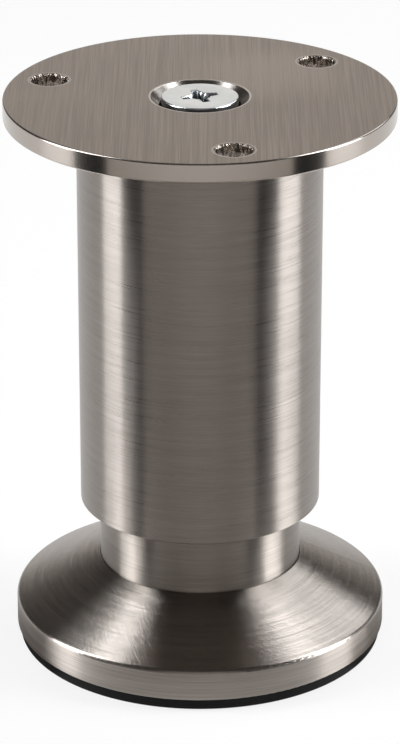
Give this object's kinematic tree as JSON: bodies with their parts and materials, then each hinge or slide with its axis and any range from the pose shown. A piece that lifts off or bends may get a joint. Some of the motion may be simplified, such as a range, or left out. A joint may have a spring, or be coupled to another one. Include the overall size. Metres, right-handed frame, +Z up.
{
  "type": "adjustable cabinet leg",
  "caption": "Round brushed tube leg with a screw-on top plate and a cone foot that is turned to set its height.",
  "frame": {"origin": "on the floor, under the leg's axis", "axes": "+Z up the leg's axis towards the mounting plate; the front screw hole lies on -Y"},
  "size_m": [0.08, 0.08, 0.12],
  "materials": {
    "brushed_nickel": "brushed satin nickel plate",
    "zinc_plate": "bright zinc plate",
    "spring_steel": "phosphated spring steel",
    "insert_plastic": "moulded, matt",
    "glide_plastic": "moulded, satin"
  },
  "bodies": {
    "leg": {"mounting_plate": "brushed_nickel", "plate_screw": "zinc_plate", "outer_tube": "brushed_nickel", "top_plug": "insert_plastic", "plate_nut": "zinc_plate", "nut_carrier": "insert_plastic", "spindle_nut": "zinc_plate", "guide_bush": "glide_plastic"},
    "glide": {"floor_glide": "glide_plastic"},
    "foot": {"sleeve": "brushed_nickel", "foot_cover": "brushed_nickel", "base_core": "insert_plastic", "spindle": "zinc_plate", "spindle_washer": "zinc_plate", "clamp_nut": "zinc_plate", "stop_clip": "spring_steel"}
  },
  "joints": [
    {"name": "height_slide", "type": "slide", "parent": "leg", "child": "glide", "axis": [0, 0, 1], "range_m": [-0.01, 0.01]},
    {"name": "foot_turn", "type": "hinge", "parent": "glide", "child": "foot", "pos_m": [0, 0, 0.05], "axis": [0, 0, 1], "range_deg": [-2400, 2400]}
  ],
  "couplings": [
    {"joint": "foot_turn", "follows": "height_slide", "rad_per_m": 4188.8}
  ]
}
